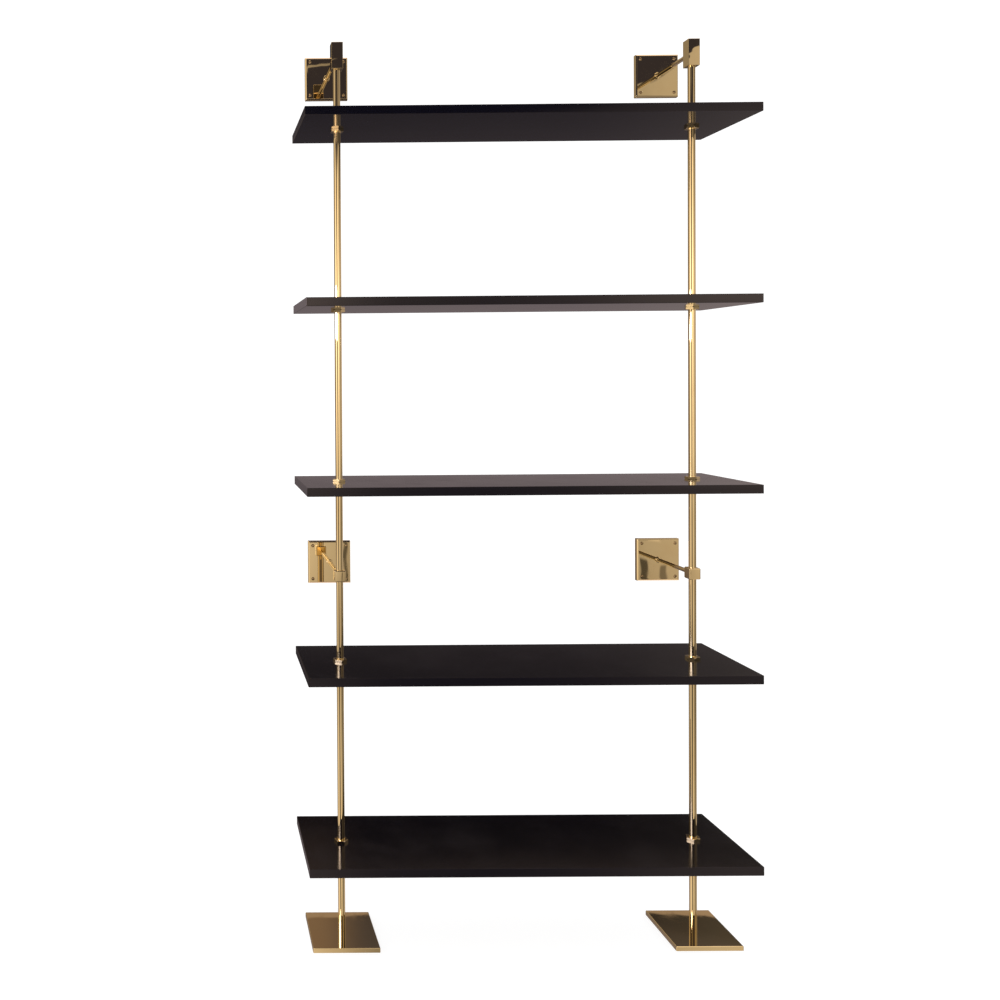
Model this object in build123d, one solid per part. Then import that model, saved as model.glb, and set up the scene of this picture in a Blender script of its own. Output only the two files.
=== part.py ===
from build123d import *
from math import cos, pi
import os

os.makedirs("parts", exist_ok=True)

# A shelf unit of five lacquered boards on two brass poles. The poles stand on square floor
# plates and are tied to the wall by four plates, each with a rod to a block on its pole.
# +Z is up, -Y is the front, the wall is at +Y, and the origin is at the middle of the
# bottom of the whole unit. Sizes are in millimetres.

# Boards
shelf_width = 965.0
shelf_depth = 256.0
shelf_thickness = 19.0
shelf_edge_radius = 1.0
shelf_tops = {"bottom": 211.0, "lower": 619.0, "middle": 1024.0, "upper": 1428.0, "top": 1831.0}

# Poles, floor plates and what joins them
pole_spacing = 792.0
pole_radius = 7.94
pole_wall = 1.6
pole_end_chamfer = 0.3
foot_size = 147.0
foot_thickness = 10.0
foot_bevel = 1.2
foot_corner_radius = 1.6
plug_length = 32.0
foot_screw_radius = 3.0
foot_screw_head_radius = 5.8
foot_screw_length = 28.0
foot_screw_recess = 0.4
foot_screw_socket = 4.0
foot_screw_socket_depth = 2.0

# Hexagonal collars that hold the boards
collar_across_flats = 27.0
collar_thickness = 5.6
collar_chamfer_depth = 0.9
collar_chamfer_reach = 1.8
collar_turns = {"over": 11.0, "under": 34.0}
collar_turn_step = 13.0
grub_radius = 1.5
grub_length = 4.6
grub_socket = 1.5
grub_rim_share = 0.15
grub_solid_share = 0.55

# Wall plates and their screws
wall_offset = 173.0
plate_size = 101.6
plate_thickness = 12.7
plate_bevel = 3.0
plate_corner_radius = 1.2
screw_spacing = 80.0
wall_screw_radius = 2.0
wall_screw_neck_radius = 2.3
wall_screw_head_radius = 3.9
wall_screw_dome = 0.8
wall_screw_projection = 19.05
wall_screw_point = 5.0
wall_screw_tip_radius = 0.2
slot_width = 0.9
slot_depth = 1.1
slot_turns = [20, -35, 65, 5]

# Rods between the wall plates and the blocks
arm_radius = 4.76
arm_boss_radius = 7.2
arm_boss_length = 4.0
arm_boss_fillet = 1.4
spigot_radius = 3.0
spigot_length = 3.5
arm_screw_radius = 2.5
arm_screw_head_radius = 5.0
arm_screw_grip = 14.0
arm_screw_hole_spare = 2.0
arm_screw_socket = 3.0
arm_screw_socket_depth = 1.9

# Blocks on the poles
block_width = 25.4
cap_height = 59.0
cap_bottom = 1945.0
cap_socket_depth = 22.0
cap_edge_radius = 0.8
clamp_height = 812.0
clamp_edge_radius = 2.6
block_grub_radius = 2.0
block_grub_length = 4.2
block_grub_socket = 2.0
cap_grub_height = 11.0

# Clearances: between pieces that slide, between fixed round pieces, and at blind ends
running = 0.06
seat = 0.05
pole_end_gap = 0.5
spigot_end_gap = 0.2
plug_hole_spare = 2.0

# How far a cutting tool runs past the face that it cuts
past = 1.0

# Derived places
back_reach = wall_offset + wall_screw_projection
pole_y = (shelf_depth / 2 - back_reach) / 2
wall_y = pole_y + wall_offset
cap_arm_height = cap_bottom + cap_height / 2
pole_top = cap_bottom + cap_socket_depth - pole_end_gap
sliding_bore = pole_radius + running
sides = {"left": -1, "right": 1}


def save(node, shape):
    """Write one piece, or one group of like fasteners, to its own file."""
    export_step(shape, f"parts/{node}.step")


def along_y(shape):
    """Turn a shape that was made along +Z so that it runs along +Y."""
    return Rot(-90, 0, 0) * shape


def rod(radius, start, end):
    """A round bar along Z from one height to another."""
    return Pos(0, 0, (start + end) / 2) * Cylinder(radius, end - start)


def taper(radius_low, radius_high, start, end):
    """A cone along Z from one height to another."""
    return Pos(0, 0, (start + end) / 2) * Cone(radius_low, radius_high, end - start)


def hex_bar(across_flats, start, end):
    """A hexagonal bar along Z from one height to another."""
    outline = RegularPolygon(across_flats / 2, 6, major_radius=False)
    return Pos(0, 0, start) * extrude(outline, amount=end - start)


def shelf_board():
    """A lacquered board with a hole for each pole, its top face at height 0."""
    board = Box(shelf_width, shelf_depth, shelf_thickness)
    board = fillet(board.edges(), shelf_edge_radius)
    for side in sides.values():
        board -= Pos(side * pole_spacing / 2, 0, 0) * Cylinder(sliding_bore, shelf_thickness * 2)
    return Pos(0, pole_y, -shelf_thickness / 2) * board


def collar():
    """A hexagonal locking collar standing on height 0, its grub screw hole along +X."""
    corner_radius = collar_across_flats / 2 / cos(pi / 6)
    turned = Cylinder(corner_radius, collar_thickness)
    rims = turned.edges().filter_by(GeomType.CIRCLE)
    turned = chamfer(rims, collar_chamfer_depth, collar_chamfer_reach)
    blank = Rot(0, 0, 30) * hex_bar(collar_across_flats, 0, collar_thickness)
    blank &= Pos(0, 0, collar_thickness / 2) * turned
    blank -= rod(sliding_bore, -past, collar_thickness + past)
    hole = Rot(0, 90, 0) * rod(grub_radius, 0, collar_across_flats)
    return blank - Pos(0, 0, collar_thickness / 2) * hole


def grub_screw(radius, length, socket_width):
    """A socket set screw along +X, its flat tip on the sliding bore's radius."""
    body = rod(radius - seat, 0, length)
    outer_rim = body.edges().filter_by(GeomType.CIRCLE).sort_by(Axis.Z)[-1]
    body = chamfer(outer_rim, radius * grub_rim_share)
    body -= hex_bar(socket_width, length * grub_solid_share, length + past)
    return Pos(sliding_bore, 0, 0) * Rot(0, 90, 0) * body


def pole():
    """A drawn tube from the top of its floor plate into its cap block."""
    tube = rod(pole_radius, foot_thickness, pole_top)
    circles = tube.edges().filter_by(GeomType.CIRCLE)
    tube = chamfer(circles, pole_end_chamfer)
    return tube - rod(pole_radius - pole_wall, foot_thickness - past, pole_top + past)


def pole_plug():
    """A threaded plug brazed into the foot of a pole."""
    plug = rod(pole_radius - pole_wall - seat, foot_thickness, foot_thickness + plug_length)
    hole_end = foot_screw_length + plug_hole_spare
    return plug - rod(foot_screw_radius + seat, foot_thickness - past, hole_end)


def foot_plate():
    """A square floor plate, bevelled on top and countersunk below for the pole's screw."""
    plate = Pos(0, 0, foot_thickness / 2) * Box(foot_size, foot_size, foot_thickness)
    plate = fillet(plate.edges().filter_by(Axis.Z), foot_corner_radius)
    plate = chamfer(plate.faces().sort_by(Axis.Z)[-1].edges(), foot_bevel)
    plate -= rod(foot_screw_radius + seat, -past, foot_thickness + past)
    sink_radius = foot_screw_head_radius + foot_screw_recess + seat
    sink_depth = sink_radius - foot_screw_radius
    return plate - taper(sink_radius, foot_screw_radius, 0, sink_depth)


def foot_screw():
    """A countersunk socket screw that comes up through the floor plate into the plug."""
    head_depth = foot_screw_head_radius - foot_screw_radius
    low = foot_screw_recess
    screw = taper(foot_screw_head_radius, foot_screw_radius, low, low + head_depth)
    screw += rod(foot_screw_radius, low + head_depth, foot_screw_length)
    return screw - hex_bar(foot_screw_socket, low - past, low + foot_screw_socket_depth)


def wall_plate():
    """A square plate with its back at height 0 and its bevelled front at +Z."""
    plate = Pos(0, 0, plate_thickness / 2) * Box(plate_size, plate_size, plate_thickness)
    plate = chamfer(plate.faces().sort_by(Axis.Z)[-1].edges(), plate_bevel)
    plate = fillet(plate.edges().filter_by(Axis.Z), plate_corner_radius)
    head_depth = wall_screw_head_radius - wall_screw_neck_radius
    hole = rod(wall_screw_neck_radius + seat, -past, plate_thickness + past)
    hole += taper(wall_screw_neck_radius + seat, wall_screw_head_radius + seat,
                  plate_thickness - head_depth, plate_thickness)
    for place in GridLocations(screw_spacing, screw_spacing, 2, 2):
        plate -= place * hole
    plate -= rod(arm_screw_radius + seat, -past, plate_thickness + past)
    sink_depth = arm_screw_head_radius - arm_screw_radius
    return plate - taper(arm_screw_head_radius + seat, arm_screw_radius + seat, 0, sink_depth)


def wall_screw():
    """A slotted raised-head wood screw: head at the plate's front face, point in the wall."""
    head_depth = wall_screw_head_radius - wall_screw_neck_radius
    front = plate_thickness
    shank_end = -wall_screw_projection + wall_screw_point
    screw = taper(wall_screw_neck_radius, wall_screw_head_radius, front - head_depth, front)
    dome_radius = (wall_screw_head_radius ** 2 + wall_screw_dome ** 2) / (2 * wall_screw_dome)
    ball = Pos(0, 0, front + wall_screw_dome - dome_radius) * Sphere(dome_radius)
    screw += ball & rod(wall_screw_head_radius, front, front + wall_screw_dome + past)
    screw += rod(wall_screw_neck_radius, 0, front - head_depth)
    screw += rod(wall_screw_radius, shank_end, 0)
    screw += taper(wall_screw_tip_radius, wall_screw_radius, -wall_screw_projection, shank_end)
    slot_floor = front + wall_screw_dome - slot_depth
    slot = Box(wall_screw_head_radius * 3, slot_width, slot_depth * 2)
    return screw - Pos(0, 0, slot_floor + slot_depth) * slot


def arm():
    """A rod along +Y from the back of a block, at 0, to the front of its wall plate."""
    length = wall_offset - plate_thickness - block_width / 2
    bar = rod(arm_radius, 0, length)
    boss = rod(arm_boss_radius, length - arm_boss_length, length)
    boss_rim = boss.edges().filter_by(GeomType.CIRCLE).sort_by(Axis.Z)[0]
    bar += fillet(boss_rim, arm_boss_fillet)
    bar += rod(spigot_radius, -spigot_length, 0)
    hole_start = length - arm_screw_grip - arm_screw_hole_spare
    bar -= rod(arm_screw_radius + seat, hole_start, length + past)
    return along_y(bar)


def arm_screw():
    """A countersunk screw along Y from the back of a wall plate into its rod."""
    head_depth = arm_screw_head_radius - arm_screw_radius
    screw = taper(arm_screw_head_radius, arm_screw_radius, 0, head_depth)
    screw += rod(arm_screw_radius, head_depth, plate_thickness + arm_screw_grip)
    screw -= hex_bar(arm_screw_socket, -past, arm_screw_socket_depth)
    return Rot(90, 0, 0) * screw


def cap_block(side):
    """The tall block on the end of a pole, its underside at height 0."""
    block = Pos(0, 0, cap_height / 2) * Box(block_width, block_width, cap_height)
    block = fillet(block.edges(), cap_edge_radius)
    block -= rod(sliding_bore, -past, cap_socket_depth)
    block -= Pos(0, 0, cap_height / 2) * arm_socket()
    return block - Pos(0, 0, cap_grub_height) * grub_hole(side)


def clamp_block(side):
    """The cube that slides on a pole and carries the lower rod, centred on height 0."""
    block = Box(block_width, block_width, block_width)
    block = fillet(block.edges(), clamp_edge_radius)
    block -= rod(sliding_bore, -block_width, block_width)
    return block - arm_socket() - grub_hole(side)


def arm_socket():
    """The hole in a block's back face that takes a rod's spigot."""
    back = block_width / 2
    return along_y(rod(spigot_radius + seat, back - spigot_length - spigot_end_gap, back + past))


def grub_hole(side):
    """The tapped hole from a block's outer face to its bore."""
    return Rot(0, 90 * side, 0) * rod(block_grub_radius, 0, block_width)


def block_grub(side):
    """A block's grub screw, pointing at the pole from the outer face."""
    screw = grub_screw(block_grub_radius, block_grub_length, block_grub_socket)
    return Rot(0, 0, 90 - 90 * side) * screw


def bracket(place, side, arm_height):
    """Write the plate, rod and wall screws of one bracket, and return its arm screw."""
    x = sides[side] * pole_spacing / 2
    at_wall = Pos(x, wall_y, arm_height) * Rot(90, 0, 0)
    save(f"wall_plate_{place}_{side}", at_wall * wall_plate())
    save(f"arm_{place}_{side}", Pos(x, pole_y + block_width / 2, arm_height) * arm())
    corners = GridLocations(screw_spacing, screw_spacing, 2, 2)
    screws = [at_wall * spot * Rot(0, 0, turn * sides[side]) * wall_screw()
              for spot, turn in zip(corners, slot_turns)]
    save(f"wall_screws_{place}_{side}", Compound(children=screws))
    return Pos(x, wall_y, arm_height) * arm_screw()


# Boards, each with four collars and their grub screws
for index, (name, top) in enumerate(shelf_tops.items()):
    save(f"shelf_{name}", Pos(0, 0, top) * shelf_board())
    grubs = []
    for side, sign in sides.items():
        for level, turn in collar_turns.items():
            angle = 90 + sign * (turn + collar_turn_step * index)
            base = top if level == "over" else top - shelf_thickness - collar_thickness
            spot = Pos(sign * pole_spacing / 2, pole_y, base) * Rot(0, 0, angle)
            save(f"collar_{name}_{side}_{level}", spot * collar())
            middle = Pos(0, 0, collar_thickness / 2)
            grubs.append(spot * middle * grub_screw(grub_radius, grub_length, grub_socket))
    save(f"collar_grub_screws_{name}", Compound(children=grubs))

# Poles, floor plates, and the upper and lower brackets
foot_screws = []
cap_grubs = []
top_arm_screws = []
for side, sign in sides.items():
    at_pole = Pos(sign * pole_spacing / 2, pole_y, 0)
    save(f"pole_{side}", at_pole * pole())
    save(f"pole_plug_{side}", at_pole * pole_plug())
    save(f"foot_plate_{side}", at_pole * foot_plate())
    foot_screws.append(at_pole * foot_screw())

    at_cap = at_pole * Pos(0, 0, cap_bottom)
    save(f"cap_block_{side}", at_cap * cap_block(sign))
    cap_grubs.append(at_cap * Pos(0, 0, cap_grub_height) * block_grub(sign))
    top_arm_screws.append(bracket("top", side, cap_arm_height))

    at_clamp = at_pole * Pos(0, 0, clamp_height)
    save(f"clamp_block_{side}", at_clamp * clamp_block(sign))
    save(f"clamp_grub_screw_{side}", at_clamp * block_grub(sign))
    save(f"arm_screw_lower_{side}", bracket("lower", side, clamp_height))

save("foot_screws", Compound(children=foot_screws))
save("cap_grub_screws", Compound(children=cap_grubs))
save("arm_screws_top", Compound(children=top_arm_screws))

print("pole line at y =", pole_y, " wall face at y =", wall_y, " upper rods at z =", cap_arm_height)
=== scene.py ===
"""A wall shelf of five black lacquered boards on two polished brass poles.

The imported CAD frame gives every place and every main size. Each operator models one kind of piece
with its edges, holes, threads and sockets, gives it its finish and lets it ride on its body.
All sizes are in metres, in the frame's own axes: +Z up, the front towards -Y, the wall at +Y.
"""

import math

import bmesh
import bpy
from bpy.props import FloatProperty, FloatVectorProperty, IntProperty, PointerProperty
from mathutils import Euler, Matrix, Vector


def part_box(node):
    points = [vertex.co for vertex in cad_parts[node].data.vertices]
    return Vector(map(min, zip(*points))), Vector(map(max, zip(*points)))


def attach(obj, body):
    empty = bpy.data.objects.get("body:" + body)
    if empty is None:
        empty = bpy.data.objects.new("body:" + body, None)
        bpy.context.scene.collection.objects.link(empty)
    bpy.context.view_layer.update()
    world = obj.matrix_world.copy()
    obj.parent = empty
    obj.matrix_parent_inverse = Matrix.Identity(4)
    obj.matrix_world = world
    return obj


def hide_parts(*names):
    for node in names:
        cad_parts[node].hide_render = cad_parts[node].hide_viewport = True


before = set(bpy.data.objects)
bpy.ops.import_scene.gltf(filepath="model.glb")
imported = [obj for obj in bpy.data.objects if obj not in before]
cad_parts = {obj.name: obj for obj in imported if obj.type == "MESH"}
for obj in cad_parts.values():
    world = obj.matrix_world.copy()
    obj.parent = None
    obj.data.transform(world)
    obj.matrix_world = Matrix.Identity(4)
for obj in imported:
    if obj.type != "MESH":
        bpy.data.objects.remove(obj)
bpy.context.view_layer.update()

bl_info = {
    "name": "Pole Wall Shelf",
    "version": (1, 0, 0),
    "blender": (4, 5, 0),
    "location": "View3D > Sidebar > Pole Shelf",
    "description": "Models and finishes a five-board shelf unit round its CAD frame",
    "category": "Object",
}

SIDES = {"left": -1, "right": 1}
SHELVES = ("bottom", "lower", "middle", "upper", "top")
LEVELS = ("over", "under")
BRACKETS = ("top", "lower")
FULL_TURN = 2 * math.pi
QUARTER_TURN = math.pi / 2
MERGE_DISTANCE = 1e-6
SHARP_ANGLE = math.radians(32)

# How many faces go round or across the small shapes
EDGE_STEPS = 4
COLLAR_STEPS = 72
HOLE_STEPS = 32
SMALL_HOLE_STEPS = 24
SET_SCREW_STEPS = 24
ROD_STEPS = 48

# Small fixings: radius, length and width of the socket of each kind of set screw
COLLAR_SET_SCREW = (0.00145, 0.0046, 0.0015)
BLOCK_SET_SCREW = (0.00195, 0.0042, 0.002)
COLLAR_SET_SCREW_HOLE = 0.0015
BLOCK_SET_SCREW_HOLE = 0.002
ROD_SPIGOT_RADIUS = 0.003
ROD_SPIGOT_LENGTH = 0.0035
ROD_SCREW_HOLE = 0.00255
CAP_BORE_DEPTH = 0.022


def span(node):
    """The size of a CAD node along X, Y and Z."""
    low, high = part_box(node)
    return high - low


def middle(node):
    """The middle of a CAD node's box."""
    low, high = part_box(node)
    return (low + high) / 2


def between_poles():
    """The point on the floor halfway between the poles."""
    point = (middle("pole_left") + middle("pole_right")) / 2
    point.z = 0
    return point


def bracket_body(place, side):
    """The body that carries a bracket's plate and rod."""
    return "frame" if place == "top" else f"{side}_bracket"


# Settings


def length_property(name, description, default):
    """A size that a user can change, in metres."""
    return FloatProperty(
        name=name, description=description, default=default, min=0, unit="LENGTH", precision=5
    )


def colour_property(name, description, default):
    """A finish colour that a user can change."""
    return FloatVectorProperty(
        name=name, description=description, default=default, size=3, min=0, max=1,
        subtype="COLOR",
    )


def angle_property(name, description, degrees):
    """A turn that a user can change."""
    return FloatProperty(
        name=name, description=description, default=math.radians(degrees), subtype="ANGLE"
    )


def share_property(name, description, default):
    """A number from nothing to one."""
    return FloatProperty(
        name=name, description=description, default=default, min=0, max=1, subtype="FACTOR"
    )


class BoardSettings(bpy.types.PropertyGroup):
    """Sizes and lacquer of the boards."""

    edge_radius: length_property("Edge radius", "Rounding of every board edge", 0.0010)
    hole_radius: length_property("Hole radius", "Radius of the holes for the poles", 0.0080)
    hole_chamfer: length_property("Hole chamfer", "Chamfer at each hole's rims", 0.0004)
    lacquer: colour_property("Lacquer", "Colour of the lacquer", (0.0018, 0.0019, 0.0055))
    haze: colour_property("Haze", "Colour where the lacquer is rubbed", (0.0045, 0.0044, 0.0080))
    gloss: share_property("Roughness", "Roughness of the satin lacquer", 0.09)


class CollarSettings(bpy.types.PropertyGroup):
    """Sizes of the hexagonal collars."""

    across_flats: length_property("Across flats", "Width between two flats", 0.027)
    thickness: length_property("Thickness", "Height of a collar", span("collar_top_left_over").z)
    corner_reach: length_property("Corner reach", "How far the corners are turned in", 0.0018)
    corner_slope: share_property("Corner slope", "Drop of the turned corners over reach", 0.5)
    softening: length_property("Softening", "Chamfer left by polishing", 0.00018)
    turn_over: angle_property("Turn over", "Turn of the collars over a board", 11)
    turn_under: angle_property("Turn under", "Turn of the collars under a board", 34)
    turn_step: angle_property("Turn step", "Further turn from one board to the next", 13)


class MetalSettings(bpy.types.PropertyGroup):
    """Sizes and colours of the brass and of the fixings."""

    pole_wall: length_property("Pole wall", "Wall of the drawn tube", 0.0016)
    foot_bevel: length_property("Floor plate bevel", "Bevel round the top of a plate", 0.0012)
    plate_bevel: length_property("Wall plate bevel", "Bevel round the front of a plate", 0.003)
    screw_spacing: length_property("Screw spacing", "Distance between two wall screws", 0.080)
    cap_radius: length_property("Cap edges", "Edge radius of the cap blocks", 0.0008)
    clamp_radius: length_property("Clamp edges", "Edge radius of the clamp blocks", 0.0026)
    brass: colour_property("Brass", "Colour of clean polished brass", (0.90, 0.76, 0.48))
    bronze: colour_property("Bronze", "Colour of brass that has aged", (0.76, 0.56, 0.29))
    steel: colour_property("Steel", "Colour of the zinc plated screws", (0.56, 0.57, 0.58))
    black_steel: colour_property("Black steel", "Colour of the set screws", (0.06, 0.058, 0.056))


class StageSettings(bpy.types.PropertyGroup):
    """The floor, the room light and the camera."""

    floor_size: length_property("Floor size", "Side of the pale floor", 60.0)
    lens: FloatProperty(
        name="Lens", description="Focal length in millimetres", default=35.385, min=1
    )
    shift_x: FloatProperty(name="Shift X", description="Sideways lens shift", default=0.3140)
    shift_y: FloatProperty(name="Shift Y", description="Upward lens shift", default=-0.1108)
    far_window_energy: FloatProperty(
        name="Far window", description="Power of the far window", default=14.0, min=0
    )
    near_window_energy: FloatProperty(
        name="Near window", description="Power of the near window", default=1.8, min=0
    )
    camera_place: FloatVectorProperty(
        name="Camera place", description="Where the camera stands, from between the poles' feet",
        default=(-0.7281, -2.2083, 1.2600), subtype="TRANSLATION", unit="LENGTH",
    )
    camera_turn: FloatVectorProperty(
        name="Camera turn", description="How the camera is turned",
        default=[math.radians(angle) for angle in (89.325, 0.459, 0.259)], subtype="EULER",
    )


class ShelfSettings(bpy.types.PropertyGroup):
    """Everything that a user can change."""

    board: PointerProperty(type=BoardSettings)
    collar: PointerProperty(type=CollarSettings)
    metal: PointerProperty(type=MetalSettings)
    stage: PointerProperty(type=StageSettings)
    round_steps: IntProperty(
        name="Round steps", description="Faces round the poles and rods", default=64, min=12
    )


def settings():
    """The scene's shelf settings."""
    return bpy.context.scene.pole_shelf


# Node wiring


class Wiring:
    """Adds nodes to a tree. An input may be a socket, a number, a colour or nothing."""

    def __init__(self, tree):
        self.tree = tree

    def node(self, kind, inputs=None, **options):
        """A node with its options set and its named or numbered inputs joined or filled."""
        made = self.tree.nodes.new(kind)
        for option, value in options.items():
            setattr(made, option, value)
        for key, value in (inputs or {}).items():
            self.feed(made.inputs[key], value)
        return made

    def feed(self, socket, value):
        """Join a socket to another one, or give it a plain value."""
        if isinstance(value, bpy.types.NodeSocket):
            self.tree.links.new(value, socket)
        elif value is not None:
            if socket.type == "RGBA" and len(value) == 3:
                value = (*value, 1)
            socket.default_value = value

    def math(self, operation, *values, clamp=False):
        """The result of one sum."""
        inputs = dict(enumerate(values))
        return self.node("ShaderNodeMath", inputs, operation=operation, use_clamp=clamp).outputs[0]

    def times(self, first, *factors):
        """Several values multiplied."""
        for factor in factors:
            first = self.math("MULTIPLY", first, factor)
        return first

    def scaled(self, value, factor, extra):
        """A value multiplied, with something added."""
        return self.math("MULTIPLY_ADD", value, factor, extra)

    def vector(self, operation, *values):
        """The result of one vector sum."""
        node = self.node("ShaderNodeVectorMath", dict(enumerate(values)), operation=operation)
        return node.outputs["Vector"]

    def tinted(self, level, colour):
        """A grey level turned into that much of a colour."""
        return self.vector("MULTIPLY", level, colour)

    def mix(self, factor, first, second):
        """A colour between two others."""
        inputs = {"Factor": factor, 6: first, 7: second}
        return self.node("ShaderNodeMix", inputs, data_type="RGBA").outputs[2]

    def step(self, value, start, end):
        """A smooth rise from 0 at start to 1 at end."""
        inputs = {"Value": value, "From Min": start, "From Max": end, "To Min": 0, "To Max": 1}
        node = self.node("ShaderNodeMapRange", inputs, interpolation_type="SMOOTHSTEP")
        return node.outputs[0]

    def window(self, value, start, end, soft):
        """1 between start and end and 0 outside, with soft edges."""
        rise = self.step(value, self.math("SUBTRACT", start, soft), self.math("ADD", start, soft))
        fall = self.step(value, self.math("SUBTRACT", end, soft), self.math("ADD", end, soft))
        return self.math("SUBTRACT", rise, fall, clamp=True)

    def noise(self, place, scale, detail=2.0, roughness=0.5, distortion=0.0):
        """A value from fractal noise."""
        inputs = {
            "Vector": place, "Scale": scale, "Detail": detail, "Roughness": roughness,
            "Distortion": distortion,
        }
        return self.node("ShaderNodeTexNoise", inputs).outputs[0]

    def curve(self, value, stops):
        """A grey ramp through (place, level) stops."""
        node = self.node("ShaderNodeValToRGB", {"Fac": value})
        ramp = node.color_ramp
        while len(ramp.elements) < len(stops):
            ramp.elements.new(1.0)
        for element, (place, level) in zip(ramp.elements, stops):
            element.position = place
            element.color = (level, level, level, 1)
        return node.outputs[0]


def effect_group(name, inputs, outputs):
    """A new shader node group with its sockets, and its input and output nodes.

    An input's default is a number, a vector, or None for a vector that is always joined.
    """
    tree = bpy.data.node_groups.new(name, "ShaderNodeTree")
    for socket, default in inputs.items():
        kind = "NodeSocketFloat" if isinstance(default, float) else "NodeSocketVector"
        made = tree.interface.new_socket(socket, in_out="INPUT", socket_type=kind)
        if default is not None:
            made.default_value = default
    for socket in outputs:
        tree.interface.new_socket(socket, in_out="OUTPUT", socket_type="NodeSocketFloat")
    return tree, tree.nodes.new("NodeGroupInput").outputs, tree.nodes.new("NodeGroupOutput").inputs


def polish_group():
    """Fine parallel lines left by a polishing belt, and the slow waves under them."""
    tree, given, result = effect_group("Polishing marks", {
        "Place": None, "Line Stretch": (1.0, 1.0, 1.0), "Line Scale": 900.0,
        "Wave Stretch": (1.0, 1.0, 1.0), "Wave Scale": 16.0, "Line Share": 0.02,
    }, ["Height", "Lines"])
    wire = Wiring(tree)
    along = wire.vector("MULTIPLY", given["Place"], given["Line Stretch"])
    lines = wire.noise(along, given["Line Scale"], detail=3.0, roughness=0.7)
    slow = wire.vector("MULTIPLY", given["Place"], given["Wave Stretch"])
    waves = wire.noise(slow, given["Wave Scale"], detail=1.2, roughness=0.35)
    wire.feed(result["Height"], wire.scaled(lines, given["Line Share"], waves))
    wire.feed(result["Lines"], lines)
    return tree


def handling_group():
    """Smears and finger marks where a surface has been touched and wiped."""
    tree, given, result = effect_group(
        "Handling marks", {"Place": None, "Scale": 22.0, "Amount": 0.5}, ["Smear", "Spots"]
    )
    wire = Wiring(tree)
    patches = wire.noise(given["Place"], given["Scale"], detail=4.0, roughness=0.6, distortion=1.4)
    smear = wire.step(patches, 0.46, 0.72)
    fine = wire.times(given["Scale"], 14.0)
    speckle = wire.noise(given["Place"], fine, detail=2.0, roughness=0.5)
    spots = wire.step(speckle, 0.68, 0.78)
    for name, mask in (("Smear", smear), ("Spots", spots)):
        wire.feed(result[name], wire.times(mask, given["Amount"]))
    return tree


def edge_group():
    """A mask along the edges, where hands and cloths rub first."""
    tree, given, result = effect_group(
        "Edge rubbing", {"Place": None, "Reach": 0.0012, "Breakup": 160.0}, ["Edge"]
    )
    wire = Wiring(tree)
    soft = wire.node("ShaderNodeBevel", {"Radius": given["Reach"]}, samples=4).outputs[0]
    hard = wire.node("ShaderNodeNewGeometry").outputs["Normal"]
    agreement = wire.node(
        "ShaderNodeVectorMath", {0: soft, 1: hard}, operation="DOT_PRODUCT"
    ).outputs["Value"]
    near = wire.math("SUBTRACT", 1.0, wire.step(agreement, 0.80, 0.995))
    broken = wire.step(wire.noise(given["Place"], given["Breakup"], detail=3.0), 0.35, 0.62)
    wire.feed(result["Edge"], wire.times(near, broken))
    return tree


def dust_group():
    """Fine dust that has settled on faces that look up."""
    tree, given, result = effect_group("Settled dust", {"Place": None, "Amount": 0.3}, ["Dust"])
    wire = Wiring(tree)
    normal = wire.node("ShaderNodeNewGeometry").outputs["Normal"]
    up = wire.node("ShaderNodeSeparateXYZ", {"Vector": normal}).outputs["Z"]
    flat = wire.step(up, 0.6, 0.98)
    film = wire.step(wire.noise(given["Place"], 7.0, detail=3.0, roughness=0.55), 0.35, 0.75)
    grains = wire.step(wire.noise(given["Place"], 1500.0, detail=1.0), 0.63, 0.72)
    settled = wire.math("MAXIMUM", wire.times(film, 0.35), grains)
    wire.feed(result["Dust"], wire.times(settled, given["Amount"], flat))
    return tree


def new_material(name):
    """An empty material with its wiring, its Principled shader and its object coordinates."""
    material = bpy.data.materials.new(name)
    material.use_nodes = True
    tree = material.node_tree
    shader = tree.nodes["Principled BSDF"]
    wire = Wiring(tree)
    place = wire.node("ShaderNodeTexCoord").outputs["Object"]
    return material, wire, shader, place


def effect(wire, name, **inputs):
    """A shared effect placed in a material. Inputs are named with _ for each space."""
    node = wire.node("ShaderNodeGroup", node_tree=bpy.data.node_groups[name])
    for key, value in inputs.items():
        wire.feed(node.inputs[key.replace("_", " ").title()], value)
    return node.outputs


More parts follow.
